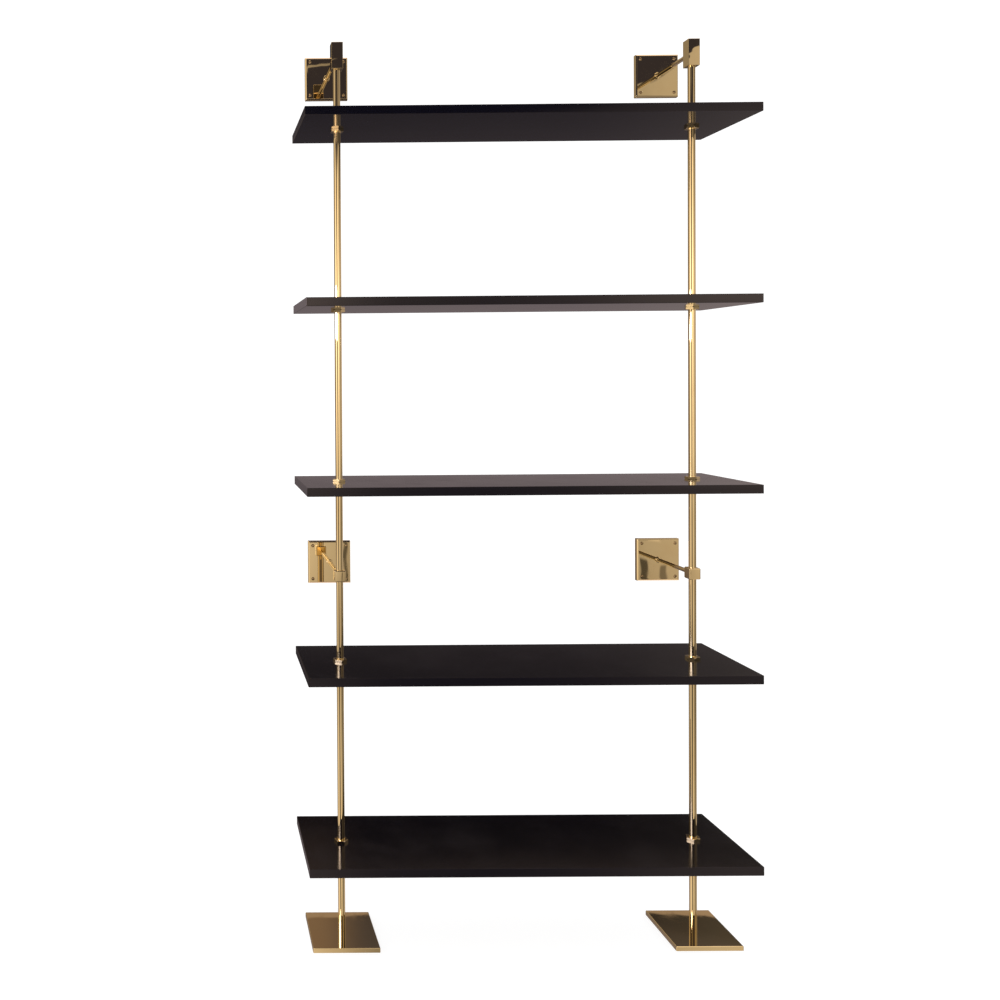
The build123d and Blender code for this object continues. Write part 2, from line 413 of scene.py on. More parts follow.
def metal(name, clean, aged, roughness, wave_height, wave_scale=16.0, wave_stretch=(1, 1, 1),
          line_stretch=(1, 1, 1), line_share=0.02, aging=0.35, handled=0.5):
    """A polished or plated metal with belt lines, slow waves, smears, aged patches and rubbed
    edges.
    """
    material, wire, shader, place = new_material(name)
    marks = effect(wire, "Polishing marks", place=place, line_stretch=line_stretch,
                   wave_scale=wave_scale, wave_stretch=wave_stretch, line_share=line_share)
    hands = effect(wire, "Handling marks", place=place, amount=handled)
    rubbed = effect(wire, "Edge rubbing", place=place)["Edge"]
    tint = wire.noise(place, 9.0, detail=3.0, roughness=0.6)
    age = wire.times(wire.step(tint, 0.35, 0.8), aging)
    smear_age = 0.10
    age = wire.math("ADD", age, wire.times(hands["Smear"], smear_age))
    colour = wire.mix(age, clean, aged)
    rubbed_share, rubbed_gain = 0.5, 1.08
    bright = [min(1.0, channel * rubbed_gain) for channel in clean]
    colour = wire.mix(wire.times(rubbed, rubbed_share), colour, bright)
    rough = roughness
    for mask, dulling in ((hands["Smear"], 0.035), (hands["Spots"], 0.06), (marks["Lines"], 0.01)):
        rough = wire.scaled(mask, dulling, rough)
    bump = wire.node("ShaderNodeBump", {"Strength": 1.0, "Distance": wave_height,
                                        "Height": marks["Height"]})
    wire.feed(shader.inputs["Base Color"], colour)
    wire.feed(shader.inputs["Roughness"], rough)
    wire.feed(shader.inputs["Normal"], bump.outputs[0])
    shader.inputs["Metallic"].default_value = 1.0
    return material


def lacquer(name):
    """Black satin lacquer over sanded board, with faint orange peel, wipe marks and dust."""
    board = settings().board
    material, wire, shader, place = new_material(name)
    hands = effect(wire, "Handling marks", place=place, scale=6.0, amount=0.6)
    rubbed = effect(wire, "Edge rubbing", place=place, reach=0.0009, breakup=60.0)["Edge"]
    dust = effect(wire, "Settled dust", place=place, amount=0.22)["Dust"]
    along_board = (1.0, 22.0, 22.0)
    grain_place = wire.vector("MULTIPLY", place, along_board)
    grain = wire.noise(grain_place, 5.0, detail=5.0, roughness=0.65)
    grain_share, rubbed_share = 0.35, 0.7
    tone = wire.times(wire.step(grain, 0.35, 0.75), grain_share)
    haze, grey_dust = tuple(board.haze), (0.070, 0.075, 0.085)
    colour = wire.mix(tone, tuple(board.lacquer), haze)
    colour = wire.mix(wire.times(rubbed, rubbed_share), colour, haze)
    colour = wire.mix(dust, colour, grey_dust)
    rough = board.gloss
    for mask, dulling in ((hands["Smear"], 0.04), (hands["Spots"], 0.05), (dust, 0.6)):
        rough = wire.scaled(mask, dulling, rough)
    peel = wire.noise(place, 420.0, detail=2.0, roughness=0.5)
    height = wire.scaled(grain, grain_share, peel)
    bump = wire.node("ShaderNodeBump", {"Strength": 0.10, "Distance": 0.0002, "Height": height})
    wire.feed(shader.inputs["Base Color"], colour)
    wire.feed(shader.inputs["Roughness"], rough)
    wire.feed(shader.inputs["Normal"], bump.outputs[0])
    shader.inputs["IOR"].default_value = 1.5
    shader.inputs["Specular IOR Level"].default_value = 0.5
    shader.inputs["Specular Tint"].default_value = (1.0, 0.93, 1.0, 1.0)
    return material


def finishes():
    """Build the shared effects and every finish once."""
    polish_group()
    handling_group()
    edge_group()
    dust_group()
    colours = settings().metal
    clean, aged = tuple(colours.brass), tuple(colours.bronze)
    dark_zinc = tuple(channel * 0.7 for channel in colours.steel)
    black = tuple(colours.black_steel)
    worn_black = tuple(channel * 2.5 for channel in black)
    metal("polished brass plate", clean, aged, 0.006, 0.00022, wave_scale=15.0,
          line_stretch=(1.0, 1.0, 0.05), line_share=0.0004)
    metal("calm brass plate", clean, aged, 0.006, 0.00012, wave_scale=13.0,
          line_stretch=(1.0, 1.0, 0.05), line_share=0.0008)
    metal("polished brass floor plate", clean, aged, 0.008, 0.00006, wave_scale=12.0,
          line_stretch=(1.0, 0.05, 1.0), line_share=0.002)
    metal("polished brass block", clean, aged, 0.008, 0.00012, wave_scale=40.0,
          line_stretch=(1.0, 1.0, 0.05), line_share=0.002)
    metal("drawn brass tube", clean, aged, 0.012, 0.0006, wave_scale=40.0,
          wave_stretch=(1.0, 1.0, 0.06), line_stretch=(1.0, 1.0, 0.02), line_share=0.001)
    metal("turned brass rod", clean, aged, 0.012, 0.0003, wave_scale=50.0,
          wave_stretch=(1.0, 0.1, 1.0), line_stretch=(0.05, 1.0, 0.05), line_share=0.002)
    metal("milled brass collar", clean, aged, 0.035, 0.0001, wave_scale=60.0,
          line_stretch=(0.1, 0.1, 1.0), line_share=0.02)
    dull = (0.42, 0.32, 0.20)
    metal("brass wood screw", dull, tuple(channel * 0.4 for channel in aged), 0.22, 0.0002,
          wave_scale=200.0, line_share=0.01, aging=0.5)
    metal("black set screw", black, worn_black, 0.34, 0.0001, wave_scale=300.0,
          line_share=0.05, aging=0.6)
    metal("zinc plated screw", tuple(colours.steel), dark_zinc, 0.26, 0.0001,
          wave_scale=220.0, line_share=0.05, aging=0.8)
    lacquer("black satin lacquer")


# Shape helpers


def turned(outline, steps, closed=False):
    """Spin an outline of (radius, height) points round Z. A closed outline makes a ring."""
    shape = bmesh.new()
    points = [shape.verts.new((radius, 0, height)) for radius, height in outline]
    pairs = list(zip(points, points[1:]))
    if closed:
        pairs.append((points[-1], points[0]))
    edges = [shape.edges.new(pair) for pair in pairs]
    bmesh.ops.spin(
        shape, geom=points + edges, cent=(0, 0, 0), axis=(0, 0, 1), dvec=(0, 0, 0),
        angle=FULL_TURN, steps=steps, use_merge=True,
    )
    bmesh.ops.remove_doubles(shape, verts=shape.verts, dist=MERGE_DISTANCE)
    bmesh.ops.recalc_face_normals(shape, faces=shape.faces)
    return shape


def solid_bar(radius, start, end, steps, softening=0.0):
    """A round bar along Z with softened rims."""
    outline = [(0, start), (radius - softening, start)]
    if softening:
        outline += [(radius, start + softening), (radius, end - softening)]
    outline += [(radius - softening, end), (0, end)]
    return turned(outline, steps)


def box_shape(size, centre=(0, 0, 0)):
    """A plain box to start from."""
    shape = bmesh.new()
    bmesh.ops.create_cube(shape, size=1)
    bmesh.ops.scale(shape, vec=size, verts=shape.verts)
    bmesh.ops.translate(shape, vec=centre, verts=shape.verts)
    return shape


def round_edges(shape, edges, radius, segments):
    """Round or chamfer some edges of a shape."""
    bmesh.ops.bevel(
        shape, geom=list(edges), offset=radius, offset_type="OFFSET", segments=segments,
        profile=0.5, affect="EDGES", clamp_overlap=True, material=-1,
    )
    return shape


def edges_along(shape, axis):
    """The edges that run along an axis, given as 0, 1 or 2."""
    found = []
    for edge in shape.edges:
        run = (edge.verts[1].co - edge.verts[0].co).normalized()
        if abs(run[axis]) > 0.999:
            found.append(edge)
    return found


def rim_edges(shape, axis, side):
    """The edges round the flat face at the low (-1) or high (1) end of an axis."""
    reach = max(side * vert.co[axis] for vert in shape.verts)
    return [
        edge for edge in shape.edges
        if all(abs(side * vert.co[axis] - reach) < MERGE_DISTANCE for vert in edge.verts)
    ]


def crisp_edges(shape, least=math.radians(12)):
    """The edges where two faces meet at an angle."""
    return [edge for edge in shape.edges if edge.is_manifold and edge.calc_face_angle(0) > least]


def moved(shape, matrix):
    """The same shape, placed by a matrix."""
    bmesh.ops.transform(shape, matrix=matrix, verts=shape.verts)
    return shape


def joined(*shapes):
    """Several shapes in one."""
    result = shapes[0]
    for shape in shapes[1:]:
        extra = bpy.data.meshes.new("extra")
        shape.to_mesh(extra)
        result.from_mesh(extra)
        bpy.data.meshes.remove(extra)
        shape.free()
    return result


def new_object(shape, name):
    """An object in the scene that takes over a shape."""
    mesh = bpy.data.meshes.new(name)
    shape.to_mesh(mesh)
    shape.free()
    made = bpy.data.objects.new(name, mesh)
    bpy.context.scene.collection.objects.link(made)
    return made


def cut(shape, tool):
    """A shape with another one taken out of it."""
    work = new_object(shape, "work")
    cutter = new_object(tool, "cutter")
    modifier = work.modifiers.new("cut", "BOOLEAN")
    modifier.operation = "DIFFERENCE"
    modifier.solver = "EXACT"
    modifier.object = cutter
    bpy.context.view_layer.update()
    ready = work.evaluated_get(bpy.context.evaluated_depsgraph_get())
    result = bmesh.new()
    result.from_mesh(ready.to_mesh())
    ready.to_mesh_clear()
    if not result.faces:
        raise RuntimeError("a cut left nothing of the shape")
    for helper in (work, cutter):
        mesh = helper.data
        bpy.data.objects.remove(helper)
        bpy.data.meshes.remove(mesh)
    return result


def piece(name, shape, spots, finish, body, nodes):
    """Finish a piece: one copy of the shape at each spot, its material, body and CAD nodes."""
    single = bpy.data.meshes.new("single")
    shape.to_mesh(single)
    together = bmesh.new()
    for spot in spots:
        copy = single.copy()
        copy.transform(spot)
        together.from_mesh(copy)
        bpy.data.meshes.remove(copy)
    bpy.data.meshes.remove(single)
    made = new_object(together, name)
    made.data.shade_smooth()
    made.data.set_sharp_from_angle(angle=SHARP_ANGLE)
    made.data.materials.append(bpy.data.materials[finish])
    even = made.modifiers.new("even shading", "WEIGHTED_NORMAL")
    even.keep_sharp = True
    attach(made, body)
    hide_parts(*nodes)
    return made


def upright(x, y, z, turn=0.0):
    """A place for a shape made along Z, turned about it."""
    return Matrix.Translation((x, y, z)) @ Matrix.Rotation(turn, 4, "Z")


def towards_back(x, y, z, turn=0.0):
    """A place for a shape made along Z that has to run along +Y."""
    lie_down = Matrix.Rotation(-QUARTER_TURN, 4, "X")
    return Matrix.Translation((x, y, z)) @ lie_down @ Matrix.Rotation(turn, 4, "Z")


def towards_front(x, y, z, turn=0.0):
    """A place for a shape made along Z that has to run along -Y."""
    lie_down = Matrix.Rotation(QUARTER_TURN, 4, "X")
    return Matrix.Translation((x, y, z)) @ lie_down @ Matrix.Rotation(turn, 4, "Z")


# Shapes of the pieces, each made once at the origin


def board_shape():
    """A board about its middle, with softly rounded edges and two chamfered pole holes."""
    board = settings().board
    size = span("shelf_top")
    shape = box_shape(size)
    round_edges(shape, shape.edges, board.edge_radius, EDGE_STEPS)
    half, rim = size.z / 2, board.hole_radius + board.hole_chamfer
    outline = [
        (0, -size.z), (rim, -size.z), (rim, -half), (board.hole_radius, -half + board.hole_chamfer),
        (board.hole_radius, half - board.hole_chamfer), (rim, half), (rim, size.z), (0, size.z),
    ]
    centre = middle("shelf_top")
    holes = [
        moved(turned(outline, settings().round_steps), Matrix.Translation(
            (middle(f"pole_{side}").x - centre.x, middle(f"pole_{side}").y - centre.y, 0)))
        for side in SIDES
    ]
    return cut(shape, joined(*holes))


def collar_shape():
    """A hexagonal collar standing on height 0, with turned corners and a set screw hole."""
    collar = settings().collar
    side_turn = FULL_TURN / 6
    flat = collar.across_flats / 2
    corner = flat / math.cos(side_turn / 2)
    cone = corner - collar.corner_reach
    bore = settings().board.hole_radius
    soft, top = collar.softening, collar.thickness
    outline = [
        (bore, soft * 2), (bore + soft * 2, 0), (corner, 0), (corner, top / 3),
        (corner, top * 2 / 3), (corner, top), (bore + soft * 2, top), (bore, top - soft * 2),
    ]
    shape = turned(outline, COLLAR_STEPS, closed=True)
    for vert in shape.verts:
        if vert.co.xy.length < corner - MERGE_DISTANCE:
            continue
        angle = math.atan2(vert.co.y, vert.co.x)
        off_flat = (angle + side_turn / 2) % side_turn - side_turn / 2
        side = flat / math.cos(off_flat)
        on_face = vert.co.z < MERGE_DISTANCE or vert.co.z > top - MERGE_DISTANCE
        radius = min(side - soft, cone) if on_face else side
        drop = max(soft, (side - cone) * collar.corner_slope)
        height = vert.co.z
        if not on_face:
            height = drop if vert.co.z < top / 2 else top - drop
        vert.co = (radius * math.cos(angle), radius * math.sin(angle), height)
    hole = solid_bar(COLLAR_SET_SCREW_HOLE, 0, corner * 2, 20)
    return cut(shape, moved(hole, Matrix.Translation((0, 0, top / 2))
                            @ Matrix.Rotation(QUARTER_TURN, 4, "Y")))


def set_screw_shape(radius, length, socket_width):
    """A socket set screw along +X from 0, its socket at the far end and a cup at the tip."""
    pitch = radius / 3
    ridge = radius * 0.12
    plain_end = radius * 0.3
    cup_depth, cup_radius, tip_radius = radius * 0.25, radius * 0.45, radius * 0.8
    outline = [(0, cup_depth), (cup_radius, 0), (tip_radius, 0)]
    height = plain_end
    while height < length - plain_end:
        outline += [(radius - ridge, height), (radius, height + pitch / 2)]
        height += pitch
    outline += [(radius * 0.85, length), (0, length)]
    shape = turned(outline, SET_SCREW_STEPS)
    socket = bmesh.new()
    bmesh.ops.create_cone(
        socket, cap_ends=True, segments=6, radius1=socket_width / math.sqrt(3),
        radius2=socket_width / math.sqrt(3), depth=length,
    )
    socket_middle = length * 1.05
    moved(socket, Matrix.Translation((0, 0, socket_middle)))
    return moved(cut(shape, socket), Matrix.Rotation(QUARTER_TURN, 4, "Y"))


def pole_shape(node):
    """A drawn tube at its own height, with softened rims."""
    low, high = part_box(node)
    outer = span(node).x / 2
    inner = outer - settings().metal.pole_wall
    rim = 0.0003
    outline = [
        (inner, low.z), (outer - rim, low.z), (outer, low.z + rim), (outer, high.z - rim),
        (outer - rim, high.z), (inner, high.z),
    ]
    return turned(outline, settings().round_steps, closed=True)


def floor_plate_shape(node):
    """A square floor plate with a fine top bevel, a countersunk hole and eased edges."""
    size = span(node)
    corner_radius, ease, least_angle = 0.0016, 0.00022, math.radians(28)
    shape = box_shape(size, (0, 0, size.z / 2))
    round_edges(shape, edges_along(shape, 2), corner_radius, 3)
    round_edges(shape, rim_edges(shape, 2, 1), settings().metal.foot_bevel, 1)
    round_edges(shape, crisp_edges(shape, least_angle), ease, 2)
    sink, sink_start, hole, sink_end = 0.00625, 0.0001, 0.00305, 0.0033
    outline = [
        (0, -size.z), (sink, -size.z), (sink, sink_start), (hole, sink_end),
        (hole, size.z * 2), (0, size.z * 2),
    ]
    return cut(shape, turned(outline, HOLE_STEPS))


def wall_plate_shape(node):
    """A square wall plate, back at height 0, with bevelled front and countersunk holes."""
    metal_sizes = settings().metal
    size = span(node)
    thickness = size.y
    shape = box_shape((size.x, size.z, thickness), (0, 0, thickness / 2))
    round_edges(shape, rim_edges(shape, 2, 1), metal_sizes.plate_bevel, 1)
    ease = 0.00045
    round_edges(shape, crisp_edges(shape), ease, 3)
    hole, sink, sink_depth = 0.00235, 0.00395, 0.0016
    corner_hole = [
        (0, -thickness), (hole, -thickness), (hole, thickness - sink_depth),
        (sink, thickness), (sink, thickness * 2), (0, thickness * 2),
    ]
    half = metal_sizes.screw_spacing / 2
    tools = [
        moved(turned(corner_hole, HOLE_STEPS), Matrix.Translation((x, y, 0)))
        for x in (-half, half) for y in (-half, half)
    ]
    rod_sink, rod_sink_depth = 0.00505, 0.0025
    centre_hole = [
        (0, -thickness), (rod_sink, -thickness), (rod_sink, 0), (ROD_SCREW_HOLE, rod_sink_depth),
        (ROD_SCREW_HOLE, thickness * 2), (0, thickness * 2),
    ]
    tools.append(turned(centre_hole, HOLE_STEPS))
    return cut(shape, joined(*tools))


def rod_shape(node):
    """A turned rod along Z: a spigot below 0, the bar, and the boss that meets the plate."""
    length = span(node).y - ROD_SPIGOT_LENGTH
    bar, boss, boss_length = 0.00476, span(node).x / 2, 0.004
    fillet, fillet_steps, ease = 0.0014, 6, 0.0002
    hole_depth, drilled_depth = 0.016, 0.0172
    boss_start = length - boss_length
    outline = [(0, -ROD_SPIGOT_LENGTH), (ROD_SPIGOT_RADIUS - ease, -ROD_SPIGOT_LENGTH),
               (ROD_SPIGOT_RADIUS, -ROD_SPIGOT_LENGTH + ease), (ROD_SPIGOT_RADIUS, 0),
               (bar - ease, 0), (bar, ease), (bar, boss_start)]
    for count in range(fillet_steps + 1):
        angle = QUARTER_TURN * count / fillet_steps
        outline.append((boss - fillet + fillet * math.sin(angle),
                        boss_start + fillet - fillet * math.cos(angle)))
    outline += [(boss, length - ease), (boss - ease, length), (ROD_SCREW_HOLE, length),
                (ROD_SCREW_HOLE, length - hole_depth), (0, length - drilled_depth)]
    return turned(outline, ROD_STEPS)


def thread_shape(core, crest, start, turns, pitch, steps=20):
    """A sharp thread ridge that winds round a screw's core along Z."""
    shape = bmesh.new()
    root, foot_width = core * 0.98, pitch * 0.56
    corners = [(root, 0), (crest, foot_width / 2), (root, foot_width)]
    points = [shape.verts.new((radius, 0, start + height)) for radius, height in corners]
    face = shape.faces.new(points)
    bmesh.ops.spin(
        shape, geom=[*points, *face.edges, face], cent=(0, 0, 0), axis=(0, 0, 1),
        dvec=(0, 0, pitch / steps), angle=FULL_TURN * turns, steps=steps * turns,
        use_merge=False,
    )
    bmesh.ops.remove_doubles(shape, verts=shape.verts, dist=MERGE_DISTANCE)
    bmesh.ops.recalc_face_normals(shape, faces=shape.faces)
    return shape


def wall_screw_shape(plate_thickness, projection):
    """A slotted raised-head wood screw along Z, its head on the plate's front face."""
    head, neck, shank, core, tip = 0.0039, 0.0023, 0.0020, 0.00135, 0.0002
    dome, dome_steps, front, ease = 0.0008, 5, plate_thickness, 0.0001
    point, pitch, thread_top, runout = 0.005, 0.0018, -0.003, 0.0008
    slot_width, slot_depth = 0.0009, 0.0011
    outline = [(0, -projection), (tip, -projection + tip * 2), (core, -projection + point),
               (core, thread_top), (shank, thread_top + runout), (shank, 0), (neck, neck - shank),
               (neck, front - (head - neck)), (head - ease, front - ease), (head, front)]
    ball = (head ** 2 + dome ** 2) / (2 * dome)
    for count in range(1, dome_steps + 1):
        radius = head * (1 - count / dome_steps)
        outline.append((radius, front + dome - ball + math.sqrt(ball ** 2 - radius ** 2)))
    slot = box_shape((head * 3, slot_width, slot_depth * 2), (0, 0, front + dome))
    shape = cut(turned(outline, HOLE_STEPS), slot)
    turns = int((thread_top + projection - point) / pitch)
    return joined(shape, thread_shape(core, shank, -projection + point, turns, pitch))


def block_shape(size, radius, centre_height, bore_start, bore_end, arm_height, grub_height, sign):
    """A block on a pole: rounded, bored for the pole, its rod's spigot and its set screw."""
    spare_radius, spare_depth, spigot_steps = 0.00005, 0.0002, 28
    shape = box_shape(size, (0, 0, centre_height))
    round_edges(shape, shape.edges, radius, EDGE_STEPS)
    bore = solid_bar(settings().board.hole_radius, bore_start, bore_end, settings().round_steps)
    spigot_start = size.y / 2 - ROD_SPIGOT_LENGTH - spare_depth
    spigot = moved(solid_bar(ROD_SPIGOT_RADIUS + spare_radius, spigot_start, size.y, spigot_steps),
                   towards_back(0, 0, arm_height))
    grub = moved(solid_bar(BLOCK_SET_SCREW_HOLE, 0, size.x, SMALL_HOLE_STEPS),
                 Matrix.Translation((0, 0, grub_height))
                 @ Matrix.Rotation(QUARTER_TURN * sign, 4, "Y"))
    for tool in (bore, spigot, grub):
        shape = cut(shape, tool)
    return shape


# Operators


class ShelfOperator:
    """What every operator of this shelf shares."""

    bl_options = {"REGISTER", "UNDO"}

    def execute(self, context):
        self.build()
        return {"FINISHED"}


class SHELF_OT_finishes(ShelfOperator, bpy.types.Operator):
    """Mix the brass, lacquer and steel finishes"""

    bl_idname = "pole_shelf.finishes"
    bl_label = "Finishes"

    def build(self):
        finishes()


class SHELF_OT_boards(ShelfOperator, bpy.types.Operator):
    """Make the five lacquered boards"""

    bl_idname = "pole_shelf.boards"
    bl_label = "Boards"

    def build(self):
        shape = board_shape()
        for name in SHELVES:
            spot = Matrix.Translation(middle(f"shelf_{name}"))
            piece(f"lacquered_board_{name}", shape, [spot], "black satin lacquer",
                  f"{name}_shelf", [f"shelf_{name}"])
        shape.free()


class SHELF_OT_collars(ShelfOperator, bpy.types.Operator):
    """Make the hexagonal collars over and under each board, with their set screws"""

    bl_idname = "pole_shelf.collars"
    bl_label = "Collars"

    def build(self):
        collar = settings().collar
        bore = settings().board.hole_radius
        shape = collar_shape()
        screw = moved(set_screw_shape(*COLLAR_SET_SCREW), Matrix.Translation((bore, 0, 0)))
        turns = {"over": collar.turn_over, "under": collar.turn_under}
        for index, name in enumerate(SHELVES):
            screw_spots = []
            for side, sign in SIDES.items():
                for level in LEVELS:
                    node = f"collar_{name}_{side}_{level}"
                    angle = QUARTER_TURN + sign * (turns[level] + collar.turn_step * index)
                    at = middle(f"pole_{side}")
                    spot = upright(at.x, at.y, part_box(node)[0].z, angle)
                    piece(f"hex_{node}", shape, [spot], "milled brass collar",
                          f"{name}_shelf", [node])
                    screw_spots.append(spot @ Matrix.Translation((0, 0, collar.thickness / 2)))
            piece(f"set_screws_{name}", screw, screw_spots, "black set screw",
                  f"{name}_shelf", [f"collar_grub_screws_{name}"])
        shape.free()
        screw.free()


class SHELF_OT_poles(ShelfOperator, bpy.types.Operator):
    """Make the two drawn brass poles"""

    bl_idname = "pole_shelf.poles"
    bl_label = "Poles"

    def build(self):
        for side in SIDES:
            node = f"pole_{side}"
            at = middle(node)
            piece(f"drawn_{node}", pole_shape(node), [upright(at.x, at.y, 0)],
                  "drawn brass tube", "frame", [node])


class SHELF_OT_floor_plates(ShelfOperator, bpy.types.Operator):
    """Make the square plates that the poles stand on"""

    bl_idname = "pole_shelf.floor_plates"
    bl_label = "Floor Plates"

    def build(self):
        for side in SIDES:
            node = f"foot_plate_{side}"
            at = middle(node)
            piece(f"bevelled_{node}", floor_plate_shape(node), [upright(at.x, at.y, 0)],
                  "polished brass floor plate", "frame", [node])


class SHELF_OT_blocks(ShelfOperator, bpy.types.Operator):
    """Make the cap blocks, the clamp blocks and their set screws"""

    bl_idname = "pole_shelf.blocks"
    bl_label = "Blocks"

    def build(self):
        metal_sizes = settings().metal
        bore = settings().board.hole_radius
        screw = moved(set_screw_shape(*BLOCK_SET_SCREW), Matrix.Translation((bore, 0, 0)))
        grub_height, past = middle("cap_grub_screws").z, 0.001
        cap_spots = []
        for side, sign in SIDES.items():
            cap, clamp, pole = f"cap_block_{side}", f"clamp_block_{side}", middle(f"pole_{side}")
            low, size, clamp_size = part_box(cap)[0].z, span(cap), span(clamp)
            turn = 0 if sign > 0 else math.pi
            shape = block_shape(size, metal_sizes.cap_radius, size.z / 2, -past, CAP_BORE_DEPTH,
                                size.z / 2, grub_height - low, sign)
            piece(f"milled_{cap}", shape, [upright(pole.x, pole.y, low)],
                  "polished brass block", "frame", [cap])
            cap_spots.append(upright(pole.x, pole.y, grub_height, turn))
            shape = block_shape(clamp_size, metal_sizes.clamp_radius, 0, -clamp_size.z,
                                clamp_size.z, 0, 0, sign)
            spot = upright(pole.x, pole.y, middle(clamp).z)
            piece(f"milled_{clamp}", shape, [spot], "polished brass block",
                  f"{side}_bracket", [clamp])
            piece(f"clamp_set_screw_{side}", screw,
                  [upright(pole.x, pole.y, middle(clamp).z, turn)], "black set screw",
                  f"{side}_bracket", [f"clamp_grub_screw_{side}"])
        piece("cap_set_screws", screw, cap_spots, "black set screw", "frame",
              ["cap_grub_screws"])


class SHELF_OT_brackets(ShelfOperator, bpy.types.Operator):
    """Make the wall plates and the rods that join them to the blocks"""

    bl_idname = "pole_shelf.brackets"
    bl_label = "Brackets"

    def build(self):
        rod = rod_shape("arm_top_left")
        plate = wall_plate_shape("wall_plate_top_left")
        for place in BRACKETS:
            for side in SIDES:
                arm_node, plate_node = f"arm_{place}_{side}", f"wall_plate_{place}_{side}"
                body = bracket_body(place, side)
                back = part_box(plate_node)[1].y
                at, start = middle(plate_node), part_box(arm_node)[0].y + ROD_SPIGOT_LENGTH
                piece(f"turned_{arm_node}", rod, [towards_back(at.x, start, at.z)],
                      "turned brass rod", body, [arm_node])
                finish = "polished brass plate" if place == "top" else "calm brass plate"
                piece(f"bevelled_{plate_node}", plate, [towards_front(at.x, back, at.z)],
                      finish, body, [plate_node])
        rod.free()
        plate.free()


class SHELF_OT_wall_screws(ShelfOperator, bpy.types.Operator):
    """Make the four slotted wood screws of each wall plate"""

    bl_idname = "pole_shelf.wall_screws"
    bl_label = "Wall Screws"

    def build(self):
        half = settings().metal.screw_spacing / 2
        thickness = span("wall_plate_top_left").y
        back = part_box("wall_plate_top_left")[1].y
        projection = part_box("wall_screws_top_left")[1].y - back
        shape = wall_screw_shape(thickness, projection)
        slot_turns = [math.radians(degrees) for degrees in (20, -35, 65, 5)]
        corners = [(x, z) for x in (-half, half) for z in (-half, half)]
        for place in BRACKETS:
            for side, sign in SIDES.items():
                at = middle(f"wall_plate_{place}_{side}")
                spots = [towards_front(at.x + x, back, at.z + z, turn * sign)
                         for (x, z), turn in zip(corners, slot_turns)]
                piece(f"slotted_wall_screws_{place}_{side}", shape, spots, "brass wood screw",
                      bracket_body(place, side), [f"wall_screws_{place}_{side}"])
        shape.free()


class SHELF_OT_hidden_fixings(ShelfOperator, bpy.types.Operator):
    """Finish the plugs and screws that stay as the frame made them"""

    bl_idname = "pole_shelf.hidden_fixings"
    bl_label = "Hidden Fixings"

    def build(self):
        nodes = ["foot_screws", "arm_screws_top"]
        nodes += [f"arm_screw_lower_{side}" for side in SIDES]
        nodes += [f"pole_plug_{side}" for side in SIDES]
        for node in nodes:
            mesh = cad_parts[node].data
            mesh.materials.clear()
            mesh.materials.append(bpy.data.materials["zinc plated screw"])


class SHELF_OT_stage(ShelfOperator, bpy.types.Operator):
    """Lay the pale floor, light the room and place the camera"""

    bl_idname = "pole_shelf.stage"
    bl_label = "Stage"

    def build(self):
        stage = settings().stage
        lay_floor(stage)
        light_room()
        hang_window("far window", stage.far_window_energy, size=(2.4, 0.26),
                    colour=(0.92, 0.86, 1.0), place=(-2.74, -1.22, 1.575))
        hang_window("near window", stage.near_window_energy, size=(1.1, 0.15),
                    colour=(1.0, 0.72, 0.50), place=(-1.3, -0.75, 1.46))
        place_camera(stage)


def lay_floor(stage):
    """A wide pale floor, evenly bright so that only soft shadows show on it."""
    shape = bmesh.new()
    bmesh.ops.create_grid(shape, x_segments=2, y_segments=2, size=stage.floor_size / 2)
    floor = new_object(shape, "pale_floor")
    floor.visible_glossy = False
    material, wire, shader, place = new_material("pale floor")
    cool, warm = (0.24, 0.24, 0.24), (0.26, 0.257, 0.255)
    wire.feed(shader.inputs["Base Color"], wire.mix(wire.noise(place, 0.6, detail=3.0), cool, warm))
    shader.inputs["Roughness"].default_value = 0.9
    shader.inputs["Specular IOR Level"].default_value = 0.0
    shader.inputs["Emission Color"].default_value = (1, 1, 1, 1)
    shader.inputs["Emission Strength"].default_value = 0.86
    floor.data.materials.append(material)


def light_room():
    """Soft white light all round, and the darker room that polished metal mirrors."""
    world = bpy.data.worlds.new("Studio")
    world.use_nodes = True
    bpy.context.scene.world = world
    tree = world.node_tree
    tree.nodes.clear()
    wire = Wiring(tree)
    ray = wire.node("ShaderNodeLightPath").outputs
    view = wire.node("ShaderNodeTexCoord").outputs["Generated"]
    split = wire.node("ShaderNodeSeparateXYZ", {"Vector": view}).outputs
    to_front = wire.times(split["Y"], -1.0)
    across = wire.math("DEGREES", wire.math("ARCTAN2", split["X"], to_front))
    rise = wire.math("DEGREES", wire.math("ARCSINE", split["Z"]))
    mirrored = wire.mix(wire.step(to_front, -0.12, 0.12), room_behind(wire, across, rise),
                        room_in_front(wire, across, rise))
    glossy = wire.node("ShaderNodeBackground", {"Color": mirrored, "Strength": 1.0})
    soft = wire.node("ShaderNodeBackground", {"Color": (1, 1, 1), "Strength": 1.12})
    plain = wire.math("MAXIMUM", ray["Is Camera Ray"], ray["Is Diffuse Ray"])
    plain = wire.math("MAXIMUM", plain, ray["Is Shadow Ray"])
    shown = wire.node("ShaderNodeMixShader", {0: plain, 1: glossy.outputs[0], 2: soft.outputs[0]})
    wire.node("ShaderNodeOutputWorld", {"Surface": shown.outputs[0]})


